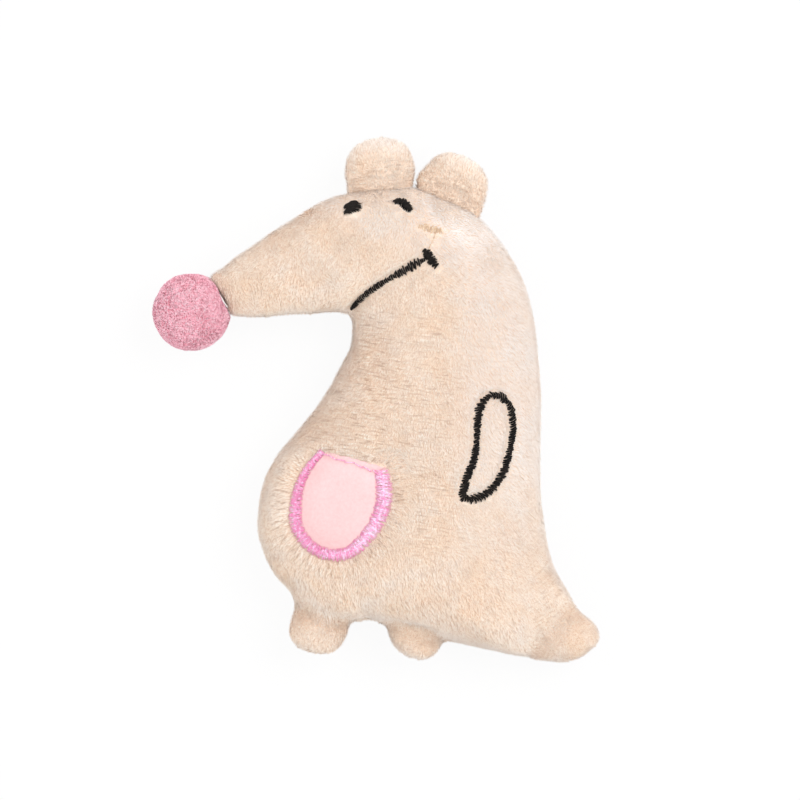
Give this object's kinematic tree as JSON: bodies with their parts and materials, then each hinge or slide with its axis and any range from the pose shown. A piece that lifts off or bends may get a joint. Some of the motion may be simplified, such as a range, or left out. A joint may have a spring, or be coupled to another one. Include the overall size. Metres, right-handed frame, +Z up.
{
  "type": "catnip mouse toy",
  "caption": "Flat-sided stuffed plush mouse with a long snout, pompom nose, embroidered face and arm, felt belly patch, and catnip inside.",
  "frame": {"origin": "centre of the bounding box in X and Y, on the flat of the back that the toy lies on", "axes": "+Z up through the embroidered side, +Y from the feet to the ears, -X towards the nose; the seam plane is level"},
  "size_m": [0.0942, 0.1118, 0.0272],
  "materials": {
    "plush": "short cream pile, brushed flat",
    "filling": "white polyester wadding",
    "sachet_cloth": "thin unbleached non-woven cloth",
    "dried_leaf": "crumbled dried leaf",
    "seam_thread": "matte spun thread",
    "black_thread": "satin-stitched embroidery thread, low sheen",
    "tan_thread": "satin-stitched embroidery thread, low sheen",
    "pink_thread": "shiny satin-stitched embroidery thread",
    "white_thread": "white sewing thread",
    "pink_felt": "smooth pressed felt",
    "pink_yarn": "dense soft pompom fibres"
  },
  "bodies": {
    "body": {"front_panel": "plush", "back_panel": "plush", "head_fill": "filling", "body_fill_front": "filling", "body_fill_back": "filling", "catnip_sachet": "sachet_cloth", "catnip_leaf": "dried_leaf", "seam_thread": "seam_thread", "closing_thread": "seam_thread", "eye_fore": "black_thread", "eye_hind": "black_thread", "cheek_stitch": "tan_thread", "mouth_line": "black_thread", "mouth_corner": "black_thread", "arm_outline": "black_thread", "nose_stitch": "white_thread", "belly_patch": "pink_felt", "patch_border": "pink_thread", "patch_top_stitch": "pink_thread"},
    "ear_fore": {"ear_fore_front": "plush", "ear_fore_back": "plush", "ear_fore_fill": "filling"},
    "ear_hind": {"ear_hind_front": "plush", "ear_hind_back": "plush", "ear_hind_fill": "filling"},
    "foot_fore": {"foot_fore_front": "plush", "foot_fore_back": "plush", "foot_fore_fill": "filling"},
    "foot_hind": {"foot_hind_front": "plush", "foot_hind_back": "plush", "foot_hind_fill": "filling"},
    "tail": {"tail_front": "plush", "tail_back": "plush", "tail_fill": "filling"},
    "nose_link": {"nose_thread": "white_thread"},
    "nose": {"pompom": "pink_yarn", "pompom_tie": "white_thread"}
  },
  "joints": [
    {"name": "ear_fore_flop", "type": "hinge", "parent": "body", "child": "ear_fore", "pos_m": [0.00073, 0.04536, 0.0115], "axis": [0.9977, 0.0684, 0], "range_deg": [-30, 30], "stiffness_Nm_per_rad": 0.002},
    {"name": "ear_hind_flop", "type": "hinge", "parent": "body", "child": "ear_hind", "pos_m": [0.01641, 0.04247, 0.0115], "axis": [0.9121, -0.4101, 0], "range_deg": [-30, 30], "stiffness_Nm_per_rad": 0.002},
    {"name": "foot_fore_flex", "type": "hinge", "parent": "body", "child": "foot_fore", "pos_m": [-0.01109, -0.04526, 0.0115], "axis": [-0.9748, 0.223, 0], "range_deg": [-20, 20], "stiffness_Nm_per_rad": 0.003},
    {"name": "foot_hind_flex", "type": "hinge", "parent": "body", "child": "foot_hind", "pos_m": [0.00837, -0.04799, 0.0115], "axis": [-0.9574, 0.2889, 0], "range_deg": [-20, 20], "stiffness_Nm_per_rad": 0.003},
    {"name": "tail_flex", "type": "hinge", "parent": "body", "child": "tail", "pos_m": [0.03713, -0.04799, 0.0115], "axis": [-0.6108, -0.7918, 0], "range_deg": [-20, 20], "stiffness_Nm_per_rad": 0.003},
    {"name": "nose_nod", "type": "hinge", "parent": "body", "child": "nose_link", "pos_m": [-0.03266, 0.02214, 0.0115], "axis": [0.4115, -0.9114, 0], "range_deg": [-10, 10], "stiffness_Nm_per_rad": 0.002},
    {"name": "nose_sway", "type": "hinge", "parent": "nose_link", "child": "nose", "pos_m": [-0.03266, 0.02214, 0.0115], "axis": [0, 0, 1], "range_deg": [-10, 10], "stiffness_Nm_per_rad": 0.002}
  ]
}
